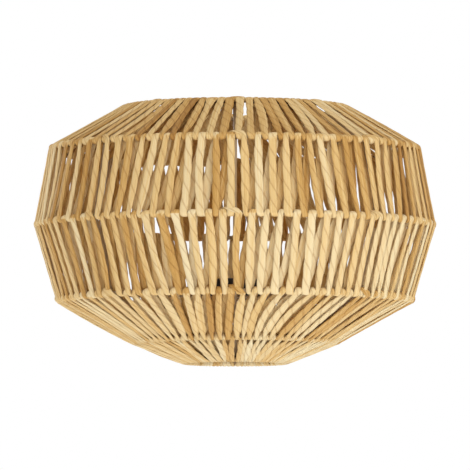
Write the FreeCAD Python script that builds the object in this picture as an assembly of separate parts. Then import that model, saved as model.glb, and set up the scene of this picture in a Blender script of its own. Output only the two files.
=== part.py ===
import FreeCAD, Part
import math
import os
from FreeCAD import Placement, Rotation, Vector

# Wound-cord lamp shade on a welded wire frame.
# Millimetres, +Z up. The origin is the centre of the fitter hole, on the fitter's underside,
# which is the face that sits on the lampholder's shoulder.

# --- driving dimensions -------------------------------------------------------
mouth_r = 112.0             # centre-line radii of the rings, from the top down
upper_shoulder_r = 182.5
equator_r = 197.0
lower_shoulder_r = 175.0
lower_r = 101.0
bottom_r = 51.5             # round the pole
equator_z = 74.0            # height of the widest ring above the fitter's seat
mouth_rise = 116.0          # heights of the others, up or down from the widest ring
upper_shoulder_rise = 76.0
lower_shoulder_drop = 74.5
lower_drop = 115.5
bottom_drop = 135.0

wire_r = 2.0                # every ring, rib and arm is bent from 4 mm wire
cord_t = 1.9                # thickness of one layer of wound cord
weld_gap = 0.05             # ribs stand this far off the rings they are welded to

rib_count = 8
rib_bend_r = 8.0            # centre-line radius of a rib's bends
rib_overrun = 2.5           # a rib runs this far past the first and last ring
rib_slot_w = 4.6            # gap left between the wraps for each rib
rib_slot_start = -0.6       # the gap starts this far inside the ring centre line
rib_slot_depth = 8.0

arm_count = 4
arm_start_r = 30.5          # the arms lie on the fitter from here outwards
arm_reach_r = 176.0         # before their ends are coped to the ribs

fitter_hole_r = 21.0        # 42 mm hole for an E27 lampholder
fitter_r = 37.0
fitter_t = 2.0
fitter_edge = 0.5

collar_bore_r = 20.3        # root of the thread that runs on the lampholder
collar_body_r = 24.0
collar_flange_r = 28.0
collar_flange_t = 3.0
collar_h = 18.0
collar_chamfer = 1.0
collar_flutes = 24
collar_flute_r = 1.1

# --- worked out ---------------------------------------------------------------
wall = wire_r + cord_t      # from a ring's centre to the outside of the cord
ring_names = ["top_ring", "upper_shoulder_ring", "equator_ring",
              "lower_shoulder_ring", "lower_ring", "bottom_ring"]
ring_centres = [(mouth_r, equator_z + mouth_rise),
                (upper_shoulder_r, equator_z + upper_shoulder_rise),
                (equator_r, equator_z),
                (lower_shoulder_r, equator_z - lower_shoulder_drop),
                (lower_r, equator_z - lower_drop),
                (bottom_r, equator_z - bottom_drop)]
winding_names = ["top_cone_winding", "upper_band_winding", "lower_band_winding",
                 "lower_cone_winding", "bottom_cone_winding"]
up = Vector(0, 0, 1)


def save(shape, name):
    shape.exportStep("parts/" + name + ".step")
    print(name, round(shape.Volume), "mm3", "valid" if shape.isValid() else "NOT VALID")


def turned(shape, degrees):
    copy = shape.copy()
    copy.Placement = Placement(Vector(), Rotation(up, degrees)).multiply(copy.Placement)
    return copy


# --- the profile of the shade, as points (radius, height) ----------------------
def plus(p, d, k=1.0):
    return (p[0] + d[0] * k, p[1] + d[1] * k)


def direction(a, b):
    length = math.hypot(b[0] - a[0], b[1] - a[1])
    return ((b[0] - a[0]) / length, (b[1] - a[1]) / length)


def outward(band):
    """Outward normal of the band between ring `band` and the next ring down."""
    d = direction(ring_centres[band], ring_centres[band + 1])
    return (-d[1], d[0])


def corner(ring):
    """Outward bisector at an inner ring, and the cosine of half the turn there."""
    a, b = outward(ring - 1), outward(ring)
    mid = (a[0] + b[0], a[1] + b[1])
    length = math.hypot(*mid)
    return (mid[0] / length, mid[1] / length), length / 2


def point(p):
    return Vector(p[0], 0, p[1])


def line(a, b):
    return Part.LineSegment(point(a), point(b)).toShape()


def arc(a, through, b):
    return Part.Arc(point(a), point(through), point(b)).toShape()


# --- rings --------------------------------------------------------------------
def ring(index):
    r, z = ring_centres[index]
    return Part.makeTorus(r, wire_r, Vector(0, 0, z), up)


# --- ribs: one bent wire each, lying inside the rings --------------------------
def rib_points():
    stand_off = 2 * wire_r + weld_gap
    last = len(ring_centres) - 1
    top_run = direction(ring_centres[1], ring_centres[0])
    low_run = direction(ring_centres[last - 1], ring_centres[last])
    points = [plus(plus(ring_centres[0], outward(0), -stand_off), top_run, rib_overrun)]
    for i in range(1, last):
        normal, cosine = corner(i)
        vertex_in = stand_off - rib_bend_r * (1 / cosine - 1)
        points.append(plus(ring_centres[i], normal, -vertex_in))
    end = plus(ring_centres[last], outward(last - 1), -stand_off)
    points.append(plus(end, low_run, rib_overrun))
    return points


def bent_wire(points, bend_r, radius):
    """Straight runs joined by tangent arcs, swept with a round section."""
    edges = []
    start = points[0]
    for before, here, after in zip(points, points[1:], points[2:]):
        d_in, d_out = direction(before, here), direction(here, after)
        half_turn = math.acos(d_in[0] * d_out[0] + d_in[1] * d_out[1]) / 2
        cut = bend_r * math.tan(half_turn)
        inner = direction((0, 0), (d_out[0] - d_in[0], d_out[1] - d_in[1]))
        arc_start, arc_end = plus(here, d_in, -cut), plus(here, d_out, cut)
        arc_mid = plus(here, inner, bend_r * (1 / math.cos(half_turn) - 1))
        edges.append(line(start, arc_start))
        edges.append(arc(arc_start, arc_mid, arc_end))
        start = arc_end
    edges.append(line(start, points[-1]))
    along = Vector(*(point(points[1]) - point(points[0])))
    section = Part.Wire(Part.makeCircle(radius, point(points[0]), along))
    return Part.Wire(edges).makePipeShell([section], True, False)


# --- spider arms: straight rods from the fitter out to every other rib ---------
def arm(rib_tool):
    height = fitter_t + wire_r
    rod = Part.makeCylinder(wire_r, arm_reach_r - arm_start_r,
                            Vector(arm_start_r, 0, height), Vector(1, 0, 0))
    pieces = rod.cut(rib_tool).Solids
    return min(pieces, key=lambda piece: piece.BoundBox.XMin)


# --- fitter: flat washer that sits on the lampholder ---------------------------
def fitter():
    disc = Part.makeCylinder(fitter_r, fitter_t)
    hole = Part.makeCylinder(fitter_hole_r, fitter_t)
    washer = disc.cut(hole)
    rim = [e for e in washer.Edges
           if isinstance(e.Curve, Part.Circle) and e.Curve.Radius > fitter_hole_r + 1]
    return washer.makeChamfer(fitter_edge, rim)


# --- retaining ring: threaded plastic collar that clamps the fitter ------------
def retaining_ring():
    z0 = fitter_t + weld_gap
    top = z0 + collar_h
    c = collar_chamfer
    outline = [(collar_bore_r + c, z0), (collar_flange_r - c, z0), (collar_flange_r, z0 + c),
               (collar_flange_r, z0 + collar_flange_t), (collar_body_r, z0 + collar_flange_t + c),
               (collar_body_r, top - c), (collar_body_r - c, top), (collar_bore_r + c, top),
               (collar_bore_r, top - c), (collar_bore_r, z0 + c)]
    face = Part.Face(Part.makePolygon([point(p) for p in outline + outline[:1]]))
    body = face.revolve(Vector(), up, 360)
    flute = Part.makeCylinder(collar_flute_r, collar_h,
                              Vector(collar_body_r + collar_flute_r / 2, 0,
                                     z0 + collar_flange_t + c))
    flutes = [turned(flute, 360.0 * i / collar_flutes) for i in range(collar_flutes)]
    return body.cut(Part.makeCompound(flutes))


# --- windings: one closed wall of cord per band --------------------------------
def band_section(band):
    """The wall's section between ring `band` and the ring below it, hollow round both rings."""
    a, b = ring_centres[band], ring_centres[band + 1]
    n, down = outward(band), direction(a, b)
    cavity = wire_r + weld_gap
    edges = [line(plus(a, n, wall), plus(b, n, wall))]
    ends, holes = [], []
    for centre, index, side in ((a, band, 1), (b, band + 1, -1)):
        outer = plus(centre, n, wall)
        if index in (0, len(ring_centres) - 1):
            inner = plus(centre, n, -wall)
            edges.append(arc(outer, plus(centre, down, -side * wall), inner))
            holes.append(Part.Wire(Part.makeCircle(cavity, point(centre), Vector(0, 1, 0))))
        else:
            normal, cosine = corner(index)
            tip = plus(centre, normal, wall)
            inner = plus(centre, normal, -wall / cosine)
            half = direction((0, 0), (n[0] + normal[0], n[1] + normal[1]))
            into = (side * normal[1], -side * normal[0])
            near, far = plus(centre, normal, cavity), plus(centre, normal, -cavity)
            edges.append(arc(outer, plus(centre, half, wall), tip))
            edges.append(line(tip, near))
            edges.append(arc(near, plus(centre, into, cavity), far))
            edges.append(line(far, inner))
        ends.append(inner)
    edges.append(line(ends[0], ends[1]))
    outline = Part.Wire(Part.__sortEdges__(edges))
    face = Part.Face(outline)
    for hole in holes:
        face = face.cut(Part.Face(hole))
    return face.Faces[0]


def rib_slot(band):
    """Narrow gap on the inner side of the wall, where a rib passes between the wraps."""
    a, b = ring_centres[band], ring_centres[band + 1]
    n, down = outward(band), direction(a, b)
    reach = 3 * wall
    corners = [plus(plus(a, n, rib_slot_start), down, -reach),
               plus(plus(b, n, rib_slot_start), down, reach)]
    corners += [plus(c, n, -rib_slot_depth) for c in reversed(corners)]
    half = Vector(0, rib_slot_w / 2, 0)
    face = Part.Face(Part.makePolygon([point(c) - half for c in corners + corners[:1]]))
    return face.extrude(2 * half)


def winding(band):
    slot = rib_slot(band)
    slots = [turned(slot, 360.0 * i / rib_count) for i in range(rib_count)]
    solid = band_section(band).revolve(Vector(), up, 360)
    return solid.cut(Part.makeCompound(slots))


# --- build ---------------------------------------------------------------------
os.makedirs("parts", exist_ok=True)

for i, name in enumerate(ring_names):
    save(ring(i), name)

rib = bent_wire(rib_points(), rib_bend_r, wire_r)
rib_tool = bent_wire(rib_points(), rib_bend_r, wire_r + weld_gap)
for i in range(rib_count):
    save(turned(rib, 360.0 * i / rib_count), "rib_%d" % (i + 1))

spider_arm = arm(rib_tool)
for i in range(arm_count):
    save(turned(spider_arm, 360.0 * i / arm_count), "spider_arm_%d" % (i + 1))

save(fitter(), "fitter_ring")
save(retaining_ring(), "retaining_ring")

for i, name in enumerate(winding_names):
    save(winding(i), name)
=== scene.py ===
import bpy
import math
import numpy as np
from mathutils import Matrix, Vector


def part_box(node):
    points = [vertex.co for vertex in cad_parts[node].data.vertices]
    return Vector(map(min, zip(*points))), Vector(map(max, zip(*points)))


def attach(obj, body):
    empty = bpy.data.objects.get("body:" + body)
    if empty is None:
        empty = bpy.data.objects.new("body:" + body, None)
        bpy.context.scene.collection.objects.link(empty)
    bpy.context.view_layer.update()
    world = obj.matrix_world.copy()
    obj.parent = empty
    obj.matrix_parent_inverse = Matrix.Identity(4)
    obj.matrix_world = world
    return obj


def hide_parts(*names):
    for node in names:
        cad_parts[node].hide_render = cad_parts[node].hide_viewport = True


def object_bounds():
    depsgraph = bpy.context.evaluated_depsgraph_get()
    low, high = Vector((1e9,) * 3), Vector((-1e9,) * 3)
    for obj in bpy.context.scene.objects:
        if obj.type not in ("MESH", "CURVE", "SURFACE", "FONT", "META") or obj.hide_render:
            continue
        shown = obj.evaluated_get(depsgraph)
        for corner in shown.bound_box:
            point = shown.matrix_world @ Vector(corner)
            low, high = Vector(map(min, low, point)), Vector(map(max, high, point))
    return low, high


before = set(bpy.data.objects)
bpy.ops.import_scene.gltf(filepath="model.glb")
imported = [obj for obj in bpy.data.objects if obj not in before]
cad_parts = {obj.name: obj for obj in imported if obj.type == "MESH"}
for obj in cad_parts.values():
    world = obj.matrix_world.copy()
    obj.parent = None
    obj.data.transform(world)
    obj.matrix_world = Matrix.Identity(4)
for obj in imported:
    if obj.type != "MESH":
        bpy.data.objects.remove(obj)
cadLow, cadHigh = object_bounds()
print("frame loaded", len(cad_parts), "nodes")


def clearSelection():
    if bpy.context.object and bpy.context.object.mode != "OBJECT":
        bpy.ops.object.mode_set(mode="OBJECT")
    bpy.ops.object.select_all(action="DESELECT")


def editAll(obj):
    clearSelection()
    obj.select_set(True)
    bpy.context.view_layer.objects.active = obj
    bpy.ops.object.mode_set(mode="EDIT")
    bpy.ops.mesh.select_all(action="SELECT")


def faceOutward(obj):
    editAll(obj)
    bpy.ops.mesh.normals_make_consistent(inside=False)
    bpy.ops.object.mode_set(mode="OBJECT")


def copyOf(obj):
    clearSelection()
    copy = obj.copy()
    copy.data = obj.data.copy()
    bpy.context.collection.objects.link(copy)
    return copy


def joinAll(objects):
    clearSelection()
    for obj in objects:
        obj.select_set(True)
    bpy.context.view_layer.objects.active = objects[0]
    bpy.ops.object.join()
    return bpy.context.object


def putMaterial(obj, mat):
    obj.data.materials.clear()
    obj.data.materials.append(mat)


def ringOf(node):
    # centre-line radius, height and wire radius of a ring, from its box in the frame
    low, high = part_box(node)
    wire = (high[2] - low[2]) / 2
    return high[0] - wire, (high[2] + low[2]) / 2, wire


def newMaterial(name):
    mat = bpy.data.materials.new(name)
    mat.use_nodes = True
    tree = mat.node_tree
    shader = next(n for n in tree.nodes if n.type == "BSDF_PRINCIPLED")
    return mat, tree, shader


def addNode(tree, kind, **settings):
    node = tree.nodes.new(kind)
    for key, value in settings.items():
        setattr(node, key, value)
    return node


def colourRamp(tree, factor, stops):
    ramp = addNode(tree, "ShaderNodeValToRGB")
    while len(ramp.color_ramp.elements) < len(stops):
        ramp.color_ramp.elements.new(0.5)
    for element, (place, colour) in zip(ramp.color_ramp.elements, stops):
        element.position = place
        element.color = (*colour, 1)
    tree.links.new(factor, ramp.inputs["Fac"])
    return ramp.outputs["Color"]


def mathNode(tree, operation, a, b, clamp=False):
    node = addNode(tree, "ShaderNodeMath", operation=operation, use_clamp=clamp)
    for socket, value in zip(node.inputs, (a, b)):
        if isinstance(value, (int, float)):
            socket.default_value = value
        else:
            tree.links.new(value, socket)
    return node.outputs[0]


def mixColour(tree, blendType, factor, a, b):
    node = addNode(tree, "ShaderNodeMix", data_type="RGBA", blend_type=blendType)
    for socket, value in zip((node.inputs[0], node.inputs[6], node.inputs[7]), (factor, a, b)):
        if isinstance(value, (int, float)):
            socket.default_value = value
        elif isinstance(value, tuple):
            socket.default_value = (*value, 1)
        else:
            tree.links.new(value, socket)
    return node.outputs[2]


mottling = {"grainDetail": 4, "patchScale": 35, "patchDetail": 5, "roughSwing": 2.0}


def buildFineGrain():
    # mottling and fine grain shared by the moulded and the painted pieces
    group = bpy.data.node_groups.new("fineGrain", "ShaderNodeTree")
    for label, kind in (("Vector", "NodeSocketVector"), ("Colour", "NodeSocketColor"),
                        ("Grain size", "NodeSocketFloat"), ("Mottle", "NodeSocketFloat"),
                        ("Roughness", "NodeSocketFloat")):
        group.interface.new_socket(name=label, in_out="INPUT", socket_type=kind)
    for label, kind in (("Colour", "NodeSocketColor"), ("Roughness", "NodeSocketFloat"),
                        ("Height", "NodeSocketFloat")):
        group.interface.new_socket(name=label, in_out="OUTPUT", socket_type=kind)
    inside = addNode(group, "NodeGroupInput")
    outside = addNode(group, "NodeGroupOutput")
    grain = addNode(group, "ShaderNodeTexNoise")
    grain.inputs["Detail"].default_value = mottling["grainDetail"]
    group.links.new(inside.outputs["Vector"], grain.inputs["Vector"])
    group.links.new(inside.outputs["Grain size"], grain.inputs["Scale"])
    patches = addNode(group, "ShaderNodeTexNoise")
    patches.inputs["Scale"].default_value = mottling["patchScale"]
    patches.inputs["Detail"].default_value = mottling["patchDetail"]
    group.links.new(inside.outputs["Vector"], patches.inputs["Vector"])
    # the patches make the colour lighter or darker, and the surface rougher or smoother
    swing = mathNode(group, "SUBTRACT", patches.outputs["Fac"], 0.5)
    swing = mathNode(group, "MULTIPLY", swing, inside.outputs["Mottle"])
    toned = addNode(group, "ShaderNodeBrightContrast")
    group.links.new(inside.outputs["Colour"], toned.inputs["Color"])
    group.links.new(swing, toned.inputs["Bright"])
    group.links.new(toned.outputs["Color"], outside.inputs["Colour"])
    roughSwing = mathNode(group, "MULTIPLY", swing, mottling["roughSwing"])
    rough = mathNode(group, "ADD", inside.outputs["Roughness"], roughSwing, True)
    group.links.new(rough, outside.inputs["Roughness"])
    group.links.new(grain.outputs["Fac"], outside.inputs["Height"])
    return group


fineGrain = buildFineGrain()


def grainedMaterial(look):
    mat, tree, shader = newMaterial(look["name"])
    where = addNode(tree, "ShaderNodeTexCoord")
    grain = addNode(tree, "ShaderNodeGroup", node_tree=fineGrain)
    grain.inputs["Colour"].default_value = (*look["colour"], 1)
    grain.inputs["Grain size"].default_value = look["grainSize"]
    grain.inputs["Mottle"].default_value = look["mottle"]
    grain.inputs["Roughness"].default_value = look["roughness"]
    tree.links.new(where.outputs["Object"], grain.inputs["Vector"])
    tree.links.new(grain.outputs["Colour"], shader.inputs["Base Color"])
    tree.links.new(grain.outputs["Roughness"], shader.inputs["Roughness"])
    bump = addNode(tree, "ShaderNodeBump")
    bump.inputs["Strength"].default_value = look["bump"]
    bump.inputs["Distance"].default_value = look["bumpDepth"]
    tree.links.new(grain.outputs["Height"], bump.inputs["Height"])
    tree.links.new(bump.outputs["Normal"], shader.inputs["Normal"])
    shader.inputs["Coat Weight"].default_value = look["coat"]
    shader.inputs["Coat Roughness"].default_value = look["coatRoughness"]
    return mat


frameCoat = {"name": "tanFrameCoat", "colour": (0.42, 0.28, 0.14), "grainSize": 1400.0, "mottle": 0.12,
             "roughness": 0.48, "bump": 0.25, "bumpDepth": 0.0002, "coat": 0.15,
             "coatRoughness": 0.4}
collarPlastic = {"name": "blackCollarPlastic", "colour": (0.022, 0.022, 0.023), "grainSize": 2200.0,
                 "mottle": 0.03, "roughness": 0.42, "bump": 0.35, "bumpDepth": 0.00015, "coat": 0.0,
                 "coatRoughness": 0.4}

cordLook = {
    "pale": (0.92, 0.75, 0.45),      # freshest fibre, also reached by the painted light of the lower bands
    "straw": (0.83, 0.565, 0.235),
    "tan": (0.62, 0.34, 0.088),
    "brown": (0.34, 0.145, 0.028),   # old or shaded fibre
    "levels": (0.05, 0.30, 0.52, 0.85),  # where brown, tan, straw and pale lie on the scale of tone
    "fibreAlong": 38.0,              # grain cells per metre along the cord
    "fibreAround": 9.0,              # grain cells round the section
    "fibreDetail": 6,
    "fibreRough": 0.65,
    "patchScale": 0.22,              # size of the patches against the fibres
    "patchDetail": 3,
    "toneShare": 0.66,               # how far each wrap's tone counts, with its band's painted light and shade
    "patchShare": 0.45,              # patches along the cord
    "fibreShare": 0.70,              # single fibres
    "levelDrop": 0.41,
    "grooveShadeColour": (0.62, 0.42, 0.24),
    "grooveShade": 0.36,             # painted shade between the plies
    "grooveEdge": 9.0,               # higher is narrower
    "roughness": 0.60,
    "roughSpread": 0.25,             # rougher fibres
    "bumpStrength": 0.8,
    "bumpDepth": 0.0007,
    "specular": 0.3,
}


def cordMaterial(look):
    # fibres run along the cord and the plies turn round it, both from the cord's own attributes
    mat, tree, shader = newMaterial("naturalCord")
    lay = addNode(tree, "ShaderNodeAttribute", attribute_name="lay")
    toneAndShading = addNode(tree, "ShaderNodeAttribute", attribute_name="toneAndShading")
    twist = addNode(tree, "ShaderNodeAttribute", attribute_name="twist")
    stretch = addNode(tree, "ShaderNodeMapping")
    stretch.inputs["Scale"].default_value = (look["fibreAlong"], look["fibreAround"], look["fibreAround"])
    tree.links.new(lay.outputs["Vector"], stretch.inputs["Vector"])
    fibres = addNode(tree, "ShaderNodeTexNoise")
    fibres.inputs["Scale"].default_value = 1.0
    fibres.inputs["Detail"].default_value = look["fibreDetail"]
    fibres.inputs["Roughness"].default_value = look["fibreRough"]
    tree.links.new(stretch.outputs["Vector"], fibres.inputs["Vector"])
    patches = addNode(tree, "ShaderNodeTexNoise")
    patches.inputs["Scale"].default_value = look["patchScale"]
    patches.inputs["Detail"].default_value = look["patchDetail"]
    tree.links.new(stretch.outputs["Vector"], patches.inputs["Vector"])
    # tone of this stretch of cord, with its band's painted light and shade, then patches along it, then
    # single fibres
    level = mathNode(tree, "MULTIPLY", toneAndShading.outputs["Fac"], look["toneShare"])
    for source, share in ((patches, look["patchShare"]), (fibres, look["fibreShare"])):
        level = mathNode(tree, "ADD", level, mathNode(tree, "MULTIPLY", source.outputs["Fac"], share))
    level = mathNode(tree, "SUBTRACT", level, look["levelDrop"], True)
    colours = [look[name] for name in ("brown", "tan", "straw", "pale")]
    colour = colourRamp(tree, level, list(zip(look["levels"], colours)))
    # two plies: a groove wherever twice the angle round the section is half a turn from the twist
    section = addNode(tree, "ShaderNodeSeparateXYZ")
    tree.links.new(lay.outputs["Vector"], section.inputs["Vector"])
    around = mathNode(tree, "ARCTAN2", section.outputs["Z"], section.outputs["Y"])
    phase = mathNode(tree, "SUBTRACT", mathNode(tree, "MULTIPLY", around, 2.0), twist.outputs["Fac"])
    wave = mathNode(tree, "COSINE", phase, 0.0)
    groove = mathNode(tree, "POWER", mathNode(tree, "MULTIPLY", wave, -1.0, True), look["grooveEdge"])
    # painted shade: the colour is darkened in the grooves between the plies
    shade = mathNode(tree, "MULTIPLY", groove, look["grooveShade"])
    colour = mixColour(tree, "MULTIPLY", shade, colour, look["grooveShadeColour"])
    tree.links.new(colour, shader.inputs["Base Color"])
    rough = mathNode(tree, "MULTIPLY", fibres.outputs["Fac"], look["roughSpread"])
    rough = mathNode(tree, "ADD", rough, look["roughness"], True)
    tree.links.new(rough, shader.inputs["Roughness"])
    height = mathNode(tree, "SUBTRACT", fibres.outputs["Fac"], groove)
    bump = addNode(tree, "ShaderNodeBump")
    bump.inputs["Strength"].default_value = look["bumpStrength"]
    bump.inputs["Distance"].default_value = look["bumpDepth"]
    tree.links.new(height, bump.inputs["Height"])
    tree.links.new(bump.outputs["Normal"], shader.inputs["Normal"])
    shader.inputs["Specular IOR Level"].default_value = look["specular"]
    return mat


coatMaterial = grainedMaterial(frameCoat)
plasticMaterial = grainedMaterial(collarPlastic)
cordMat = cordMaterial(cordLook)
print("materials ready")


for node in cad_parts:
    if node == "retaining_ring":
        putMaterial(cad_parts[node], plasticMaterial)
    elif "winding" not in node:
        putMaterial(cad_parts[node], coatMaterial)
print("frame dressed")


cordSize = {
    "width": 0.0078,          # free width of the flattened cord
    "innerWidth": 1.22,       # the inner runs lie flatter and wider
    "overlap": 1.05,          # a run is at most this much wider than the room it has
    "freeSpread": (0.84, 1.18),  # narrowest and widest wrap, against the free width
    "thick": 0.0019,
    "thickLimits": (0.92, 1.15),  # it is thinner where it spreads, thicker where it is squeezed
    "uneven": 0.32,           # how much the wraps' room on a ring varies, one to the next
    "crowding": 0.10,         # and how much it swings slowly between two ribs
    "spreadShare": 0.28,      # a cord spreads to its free width over this share of a run
    "bow": 0.0012,            # sideways wander of a run
    "sag": 0.0005,            # wander in or out
    "outerPress": 0.0003,     # the outer runs lie this much further in at their middle
    "innerPress": 0.0002,     # and the inner runs this much
    "toneSpread": 0.20,       # difference in tone from wrap to wrap
    "driftStep": 0.12,        # slow drift of tone round the shade, per wrap
    "driftTone": 0.18,        # how far the drift counts
    "sectionPoints": 12,
    "runSteps": 17,           # sections along a straight run
    "bendSteps": 8,           # sections round a ring
    "plyLength": 0.017,       # one full turn of the twist
    "plyDepth": 0.08,         # how far the plies stand out, as a share of the section
    "slide": 0.25,            # places that a wrap moves on as it bends round a ring
    "slideFade": 6,           # the slide is full from 1 / this of a sector away from a rib
    "ribGap": 0.0048,         # room left for each rib on the inner side
    "crossLift": 0.0021,      # a wrap that crosses its neighbour at a rib rides over it
    "liftFrom": 2.5,          # stage of the wrap at which it starts to rise
    "slantMost": 1.8,         # widest that the crossing gets for its slant
    "joinWithin": 0.000005,   # ends of wraps this near are made one
}
sectors = 8                   # between ribs
wrapsPerSector = 11
ringNodes = ["top_ring", "upper_shoulder_ring", "equator_ring", "lower_shoulder_ring", "lower_ring",
             "bottom_ring"]
rings = [ringOf(node) for node in ringNodes]
flatReach = rings[0][2] + cordSize["thick"] / 2      # from a ring's centre to the middle of the cord
# which band's wraps sit where in each sector of a ring, in order round the ring: 0 above, 1 below
ringOrder = [order * wrapsPerSector for order in ([1], [0, 1], [1, 0], [0, 1], [0, 1], [0])]
# each band's tone paints light and shade into the cord: darker in the upper bands and lighter down to the
# bottom cone, as the light falls on them
bands = [
    {"name": "topConeCord", "node": "top_cone_winding", "seed": 11, "toneAndShading": 0.41},
    {"name": "upperBandCord", "node": "upper_band_winding", "seed": 23, "toneAndShading": 0.43},
    {"name": "lowerBandCord", "node": "lower_band_winding", "seed": 37, "toneAndShading": 0.57},
    {"name": "lowerConeCord", "node": "lower_cone_winding", "seed": 41, "toneAndShading": 0.58},
    {"name": "bottomConeCord", "node": "bottom_cone_winding", "seed": 53, "toneAndShading": 0.74},
]


def ringPlaces(index, rng):
    # outer angle, inner angle and width of every wrap on a ring, for the bands above and below it
    radius = rings[index][0]
    order = ringOrder[index]
    sectorAngle = 2 * math.pi / sectors
    gap = cordSize["ribGap"] / radius
    places = {0: [], 1: []}
    for sector in range(sectors):
        shares = rng.uniform(1 - cordSize["uneven"], 1 + cordSize["uneven"], len(order))
        swing = 2 * math.pi * (np.arange(len(order)) / len(order) + rng.random())
        shares *= 1 + cordSize["crowding"] * np.cos(swing)
        widths = shares / shares.sum() * sectorAngle
        edge = 0
        for side, width in zip(order, widths):
            outer = edge + width / 2
            inner = gap / 2 + outer * (sectorAngle - gap) / sectorAngle
            fromRib = min(outer, sectorAngle - outer) / sectorAngle
            inner += cordSize["slide"] * width * min(1, cordSize["slideFade"] * fromRib)
            start = sector * sectorAngle
            places[side].append((start + outer, start + inner, width * radius))
            edge += width
    return places


def wrapTemplate(length):
    # one wrap in the flat: x across, y out of the wall, z up; lower ring at z 0, upper ring at z length
    clearSelection()
    bpy.ops.mesh.primitive_circle_add(vertices=cordSize["sectionPoints"], radius=1,
                                      location=(0, flatReach, length))
    wrap = bpy.context.object
    wrap.scale = (cordSize["width"] / 2, cordSize["thick"] / 2, 1)
    bpy.ops.object.transform_apply(location=True, rotation=True, scale=True)
    editAll(wrap)
    for step in (-length, length):
        for i in range(cordSize["runSteps"]):
            move = {"value": (0, 0, step / cordSize["runSteps"])}
            bpy.ops.mesh.extrude_region_move(TRANSFORM_OT_translate=move)
        ringHeight = 0 if step < 0 else length
        bpy.ops.mesh.spin(steps=cordSize["bendSteps"], angle=math.pi, center=(0, 0, ringHeight),
                          axis=(1, 0, 0))
    bpy.ops.object.mode_set(mode="OBJECT")
    return wrap


def readPoints(mesh):
    flat = np.empty(len(mesh.vertices) * 3)
    mesh.vertices.foreach_get("co", flat)
    return flat.reshape(-1, 3)


def unroll(points, length):
    # turns template points into: stage 0-4 along the wrap, place across, height over the mid line
    x, y, z = points.T
    below, above = z < -1e-6, z > length + 1e-6
    low = np.arctan2(-z, y) / math.pi
    high = np.arctan2(z - length, -y) / math.pi
    down = 1 - np.clip(z / length, 0, 1)
    up = np.clip(z / length, 0, 1)
    stage = np.where(below, 1 + low, np.where(above, 3 + high, np.where(y > 0, down, 2 + up)))
    # the last section lies on the first, which the circle made
    laterPoint = np.arange(len(points)) >= cordSize["sectionPoints"]
    stage = np.where(laterPoint & (stage < 1e-6), 4, stage)
    span = np.where(below, np.hypot(y, z), np.where(above, np.hypot(y, z - length), np.abs(y)))
    return stage, x, span - flatReach


def eased(t):
    return t * t * (3 - 2 * t)


def crossRib(stage, slope):
    # a wrap lands on the one before it and stays on top until it is past the rib, wider for its slant
    climb = np.clip((stage - cordSize["liftFrom"]) / (4 - cordSize["liftFrom"]), 0, 1)
    slant = min(math.hypot(1, slope), cordSize["slantMost"])
    widening = 1 + (slant - 1) * np.sin(math.pi * np.clip(stage - 3, 0, 1))
    return cordSize["crossLift"] * np.sin(math.pi * climb), widening


def foldRound(stage, outerRun, span, press, length):
    # distance out from the middle of the wall and height up it, with the bends round both rings
    below, above = (stage > 1) & (stage < 2), (stage > 3) & (stage < 4)
    turnLow, turnHigh = (stage - 1) * math.pi, (stage - 3) * math.pi
    out = np.where(outerRun, 1, -1) * span + press
    rise = np.where(outerRun, 1 - stage % 4, stage - 2) * length
    out = np.where(below, np.cos(turnLow) * span, out)
    rise = np.where(below, -np.sin(turnLow) * span, rise)
    out = np.where(above, -np.cos(turnHigh) * span, out)
    rise = np.where(above, length + np.sin(turnHigh) * span, rise)
    return out, rise


def joinWraps(template, wraps):
    # one copy of the template for each wrap, moved to its points and joined end to end
    copies = []
    for wrap in wraps:
        copy = copyOf(template)
        copy.data.vertices.foreach_set("co", wrap["points"].ravel())
        for name, kind, key in (("lay", "FLOAT_VECTOR", "vector"), ("twist", "FLOAT", "value"),
                                ("toneAndShading", "FLOAT", "value")):
            attribute = copy.data.attributes.new(name, kind, "POINT")
            attribute.data.foreach_set(key, wrap[name].ravel())
        copies.append(copy)
    cord = joinAll(copies)
    bpy.data.objects.remove(template)
    editAll(cord)
    bpy.ops.mesh.remove_doubles(threshold=cordSize["joinWithin"])
    faceOutward(cord)
    return cord


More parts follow.
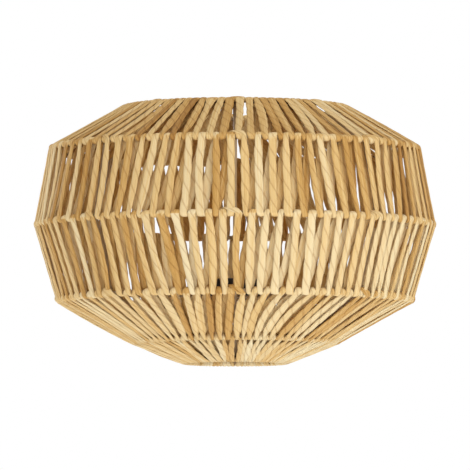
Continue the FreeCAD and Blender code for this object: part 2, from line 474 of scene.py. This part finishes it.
def windBand(index, upper, lower):
    band = bands[index]
    rng = np.random.default_rng(band["seed"])
    (topR, topZ, wire), (lowR, lowZ, _) = rings[index], rings[index + 1]
    length = math.hypot(topR - lowR, topZ - lowZ)
    alongR, alongZ = (topR - lowR) / length, (topZ - lowZ) / length
    reach = wire + cordSize["thick"] / 2
    template = wrapTemplate(length)
    stage, across, high = unroll(readPoints(template.data), length)
    count = len(upper)
    pitch = math.pi * (topR + lowR) / count
    # the cord's own length and twist at every point of a wrap
    turnLength = 2 * length + 2 * math.pi * reach
    plies = round(turnLength / cordSize["plyLength"])
    stageLength = np.cumsum([0, length, math.pi * reach, length, math.pi * reach])
    along = np.interp(stage, range(5), stageLength)
    theta = np.arctan2(high / cordSize["thick"], across / cordSize["width"])
    twist = 2 * math.pi * plies * along / turnLength
    swell = 1 + cordSize["plyDepth"] * np.cos(2 * theta - twist)
    # how far along its run a point is, and how far the cord has spread there
    outerRun = (stage <= 1) | (stage == 4)
    inRun = np.where(stage <= 1, stage, np.where((stage >= 2) & (stage <= 3), stage - 2, 0))
    relax = eased(np.clip(np.minimum(inRun, 1 - inRun) / cordSize["spreadShare"], 0, 1))
    wave = np.sin(math.pi * inRun)
    drift = np.cumsum(rng.normal(0, cordSize["driftStep"], count))
    drift -= np.linspace(0, drift[-1], count)
    wraps = []
    for i in range(count):
        here, foot, after = upper[i], lower[i], upper[(i + 1) % count]
        turn = 2 * math.pi if i + 1 == count else 0
        atRib = (i + 1) % wrapsPerSector == 0
        landing = here[1] if atRib else after[1] + turn
        landed = here[2] if atRib else after[2]
        # angle and squeezed width at: outer top, outer foot, inner foot, inner top, next wrap
        angle = np.interp(stage, range(5), [here[0], foot[0], foot[1], landing, after[0] + turn])
        squeezed = np.interp(stage, range(5), [here[2], foot[2], foot[2], landed, after[2]])
        free = min(cordSize["width"], pitch * cordSize["overlap"]) * rng.uniform(*cordSize["freeSpread"])
        free = np.where(outerRun, free, free * cordSize["innerWidth"])
        width = squeezed + (free - squeezed) * relax
        flatness = np.clip(cordSize["width"] / np.maximum(width, 1e-4), *cordSize["thickLimits"])
        thick = cordSize["thick"] * flatness
        outerBow, innerBow = rng.normal(0, cordSize["bow"], 2)
        outerSag, innerSag = rng.normal(0, cordSize["sag"], 2)
        side = np.where(outerRun, outerBow, innerBow) * wave
        press = np.where(outerRun, outerSag - cordSize["outerPress"],
                         innerSag - cordSize["innerPress"]) * wave
        lift = 0
        if atRib:
            lift, widening = crossRib(stage, (after[0] + turn - landing) * topR / (math.pi * reach))
            width = width * widening
        x = across * width / cordSize["width"] * swell
        h = high * thick / cordSize["thick"] * swell + lift
        # back to the flat wall, and round the shade
        out, rise = foldRound(stage, outerRun, reach + h, press, length)
        radius = lowR + alongR * rise + alongZ * out
        height = lowZ + alongZ * rise - alongR * out
        spread = angle - (x + side) / radius
        # the band's tone carries its painted light and shade; the drift and the spread are the cord's own
        # differences
        toneAndShading = band["toneAndShading"] + cordSize["driftTone"] * drift[i] + rng.normal(0, cordSize["toneSpread"])
        wraps.append({
            "points": np.column_stack((radius * np.cos(spread), radius * np.sin(spread), height)),
            "lay": np.column_stack((along + i * turnLength, np.cos(theta), np.sin(theta))),
            "twist": twist + i * 2 * math.pi * plies,
            "toneAndShading": np.full(len(stage), toneAndShading),
        })
    cord = joinWraps(template, wraps)
    cord.name = band["name"]
    cord.data.name = band["name"]
    bpy.ops.object.shade_smooth()
    putMaterial(cord, cordMat)
    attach(cord, "shade")
    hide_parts(band["node"])
    print(band["name"], count, "wraps,", round(count * turnLength, 1), "m of cord,",
          len(cord.data.polygons), "faces")


beadSize = {"length": 0.0034, "width": 0.0016, "rise": 0.0011, "ripple": 0.00022, "ripplePitch": 0.0012}
# beside the arm and above the fitter, in arm radii, and how far the bead leans
beadPlaces = {"fitter": {"aside": 0.75, "above": 0.2, "lean": 0.6},
              "rib": {"aside": 0.7, "above": 1.4, "lean": 0.8, "inset": 0.0012}}


def makeBead():
    # one bead, lying along x at the origin, with the ripples of a hand weld
    clearSelection()
    bpy.ops.mesh.primitive_uv_sphere_add(segments=16, ring_count=12, radius=1, location=(0, 0, 0))
    bead = bpy.context.object
    bead.rotation_euler = (0, math.pi / 2, 0)
    bpy.ops.object.transform_apply(rotation=True)
    bead.scale = (beadSize["length"], beadSize["width"], beadSize["rise"])
    bpy.ops.object.transform_apply(scale=True)
    points = readPoints(bead.data)
    ripple = np.sin(points[:, 0] * 2 * math.pi / beadSize["ripplePitch"])
    swell = 1 + beadSize["ripple"] / beadSize["width"] * ripple
    points[:, 1:] *= swell[:, None]
    bead.data.vertices.foreach_set("co", points.ravel())
    return bead


def weldSpider():
    # a bead on each side of every arm where it lies on the fitter, and one on each side of its end at the
    # rib
    fitterLow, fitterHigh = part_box("fitter_ring")
    armLow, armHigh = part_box("spider_arm_1")
    armR = (armHigh[1] - armLow[1]) / 2
    seamR = (armLow[0] + fitterHigh[0]) / 2
    ribR = armHigh[0] - beadPlaces["rib"]["inset"]
    armCount = sum(node.startswith("spider_arm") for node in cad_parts)
    bead = makeBead()
    copies = []
    for arm in range(armCount):
        turn = 2 * math.pi * arm / armCount
        for out, place in ((seamR, beadPlaces["fitter"]), (ribR, beadPlaces["rib"])):
            for side in (1, -1):
                aside = side * armR * place["aside"]
                copy = copyOf(bead)
                copy.location = (out * math.cos(turn) - aside * math.sin(turn),
                                 out * math.sin(turn) + aside * math.cos(turn),
                                 fitterHigh[2] + armR * place["above"])
                copy.rotation_euler = (-side * place["lean"], 0, turn)
                copies.append(copy)
    bpy.data.objects.remove(bead)
    welds = joinAll(copies)
    bpy.ops.object.transform_apply(location=True, rotation=True, scale=True)
    faceOutward(welds)
    bpy.ops.object.shade_smooth()
    welds.name = "spiderWelds"
    putMaterial(welds, coatMaterial)
    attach(welds, "shade")
    print("spider welded with", len(copies), "beads")


threadSize = {"bore": 0.0203, "pitch": 0.0025, "depth": 0.0008, "turns": 6, "steps": 48,
              "inset": 0.0011,        # from the end of the bore to the thread
              "back": 0.0003,         # the back lies this far inside the wall
              "halfBack": 0.48,       # half widths, in pitches, from the back to the crest
              "halfRoot": 0.44,
              "halfFlank": 0.14,
              "halfCrest": 0.07,
              "flankDepth": 0.9,      # share of the depth where the flank meets the crest
              "smoothAngle": 35}


def cutThread():
    # a ridge that winds up the bore: its flat triangle is drawn once and screwed round the axis
    low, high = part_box("retaining_ring")
    bore, pitch, depth = threadSize["bore"], threadSize["pitch"], threadSize["depth"]
    bottom = low[2] + threadSize["inset"] + pitch / 2
    clearSelection()
    bpy.ops.mesh.primitive_circle_add(vertices=8, radius=1, location=(0, 0, 0))
    ridge = bpy.context.object
    # crest and root are narrow flats, drawn from the back to the crest and mirrored
    half = [(threadSize["back"], threadSize["halfBack"]), (0.0, threadSize["halfRoot"]),
            (-depth * threadSize["flankDepth"], threadSize["halfFlank"]), (-depth, threadSize["halfCrest"])]
    outline = [(r, -z) for r, z in half] + half[::-1]
    points = np.array([(bore + r, 0, bottom + z * pitch) for r, z in outline])
    ridge.data.vertices.foreach_set("co", points.ravel())
    screw = ridge.modifiers.new("thread", "SCREW")
    screw.axis = "Z"
    screw.angle = 2 * math.pi
    screw.screw_offset = pitch
    screw.iterations = threadSize["turns"]
    screw.steps = threadSize["steps"]
    screw.render_steps = threadSize["steps"]
    bpy.ops.object.modifier_apply(modifier="thread")
    editAll(ridge)
    bpy.ops.mesh.select_all(action="DESELECT")
    bpy.ops.mesh.select_non_manifold()
    bpy.ops.mesh.fill_holes(sides=0)
    faceOutward(ridge)
    bpy.ops.object.shade_smooth_by_angle(angle=math.radians(threadSize["smoothAngle"]))
    ridge.name = "collarThread"
    putMaterial(ridge, plasticMaterial)
    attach(ridge, "collar")
    print("thread cut,", threadSize["turns"], "turns")


weldSpider()
cutThread()

placeSeed = 7
placeRng = np.random.default_rng(placeSeed)
allPlaces = [ringPlaces(i, placeRng) for i in range(len(rings))]
for i in range(len(bands)):
    windBand(i, allPlaces[i][1], allPlaces[i + 1][0])


stageSet = {
    "floorDrop": 1.36,        # the floor lies this far below the fitter
    "floorSize": 40.0,
    "cameraAway": 6.8,
    "cameraHeight": -0.362,
    "frameWidth": 0.47,       # width seen at the shade
    "clipEnd": 100,
    "cloudScale": 3,          # faint clouding of the floor
    "floorTones": ((0.3, (0.86, 0.86, 0.855)), (0.7, (0.90, 0.90, 0.895))),
    "floorRoughness": 0.7,
    "lightBelow": 0.95,       # the world's strength as light, from below and from above
    "lightAbove": 0.52,
    "lightTurn": (-0.3, 0.9),  # heights in the sky at which those two are reached
}
middle = (0, 0, (cadLow[2] + cadHigh[2]) / 2)
lights = [
    {"name": "keyLight", "place": (1.6, -2.2, 0.5), "aim": middle, "size": 1.1, "power": 19},
    {"name": "lowFill", "place": (-0.2, -1.8, -1.2), "aim": middle, "size": 1.6, "power": 9},
    {"name": "rearFill", "place": (-1.6, 2.4, 0.6), "aim": middle, "size": 1.4, "power": 18},
    {"name": "leftFill", "place": (-1.9, -0.5, 1.6), "aim": middle, "size": 1.0, "power": 6},
    {"name": "rightFill", "place": (1.9, -0.4, 1.6), "aim": middle, "size": 1.0, "power": 5},
    {"name": "floorWash", "place": (0, 0, -0.75), "aim": (0, 0, -2), "size": 5.0, "power": 26},
]


def makeFloor():
    clearSelection()
    bpy.ops.mesh.primitive_plane_add(size=stageSet["floorSize"], location=(0, 0, -stageSet["floorDrop"]))
    floor = bpy.context.object
    floor.name = "floor"
    bpy.ops.object.transform_apply(location=True, rotation=True, scale=True)
    mat, tree, shader = newMaterial("paleFloor")
    where = addNode(tree, "ShaderNodeTexCoord")
    cloud = addNode(tree, "ShaderNodeTexNoise")
    cloud.inputs["Scale"].default_value = stageSet["cloudScale"]
    tree.links.new(where.outputs["Object"], cloud.inputs["Vector"])
    colour = colourRamp(tree, cloud.outputs["Fac"], stageSet["floorTones"])
    tree.links.new(colour, shader.inputs["Base Color"])
    shader.inputs["Roughness"].default_value = stageSet["floorRoughness"]
    # clear from beneath, so that the underside of the shade can be looked at
    surface = addNode(tree, "ShaderNodeNewGeometry")
    clear = addNode(tree, "ShaderNodeBsdfTransparent")
    oneSided = addNode(tree, "ShaderNodeMixShader")
    tree.links.new(surface.outputs["Backfacing"], oneSided.inputs[0])
    tree.links.new(shader.outputs["BSDF"], oneSided.inputs[1])
    tree.links.new(clear.outputs["BSDF"], oneSided.inputs[2])
    output = next(n for n in tree.nodes if n.type == "OUTPUT_MATERIAL")
    tree.links.new(oneSided.outputs["Shader"], output.inputs["Surface"])
    floor.data.materials.append(mat)


def makeLight(light):
    data = bpy.data.lights.new(light["name"], "AREA")
    data.shape = "DISK"
    data.size = light["size"]
    data.energy = light["power"]
    lamp = bpy.data.objects.new(light["name"], data)
    bpy.context.collection.objects.link(lamp)
    lamp.location = light["place"]
    away = Vector(light["aim"]) - Vector(light["place"])
    lamp.rotation_euler = away.to_track_quat("-Z", "Y").to_euler()
    lamp.visible_camera = False


def makeWorld():
    # plain white to look at; as light it is brighter from below than from the ceiling
    world = bpy.data.worlds.new("studio")
    world.use_nodes = True
    tree = world.node_tree
    background = tree.nodes["Background"]
    background.inputs["Color"].default_value = (1, 1, 1, 1)
    where = addNode(tree, "ShaderNodeTexCoord")
    split = addNode(tree, "ShaderNodeSeparateXYZ")
    tree.links.new(where.outputs["Generated"], split.inputs["Vector"])
    level = addNode(tree, "ShaderNodeMapRange")
    level.inputs["From Min"].default_value, level.inputs["From Max"].default_value = stageSet["lightTurn"]
    level.inputs["To Min"].default_value = stageSet["lightBelow"]
    level.inputs["To Max"].default_value = stageSet["lightAbove"]
    tree.links.new(split.outputs["Z"], level.inputs["Value"])
    path = addNode(tree, "ShaderNodeLightPath")
    seen = mathNode(tree, "MAXIMUM", level.outputs["Result"], path.outputs["Is Camera Ray"])
    tree.links.new(seen, background.inputs["Strength"])
    bpy.context.scene.world = world


makeFloor()
makeWorld()
for light in lights:
    makeLight(light)

camera = bpy.data.cameras.new("camera")
cameraObj = bpy.data.objects.new("camera", camera)
bpy.context.collection.objects.link(cameraObj)
cameraObj.location = (0, -stageSet["cameraAway"], stageSet["cameraHeight"])
aim = Vector(middle) - cameraObj.location
cameraObj.rotation_euler = aim.to_track_quat("-Z", "Y").to_euler()
camera.lens = camera.sensor_width * aim.length / stageSet["frameWidth"]
camera.clip_end = stageSet["clipEnd"]
bpy.context.scene.camera = cameraObj
bpy.context.scene.view_settings.view_transform = "Standard"
print("setting ready")
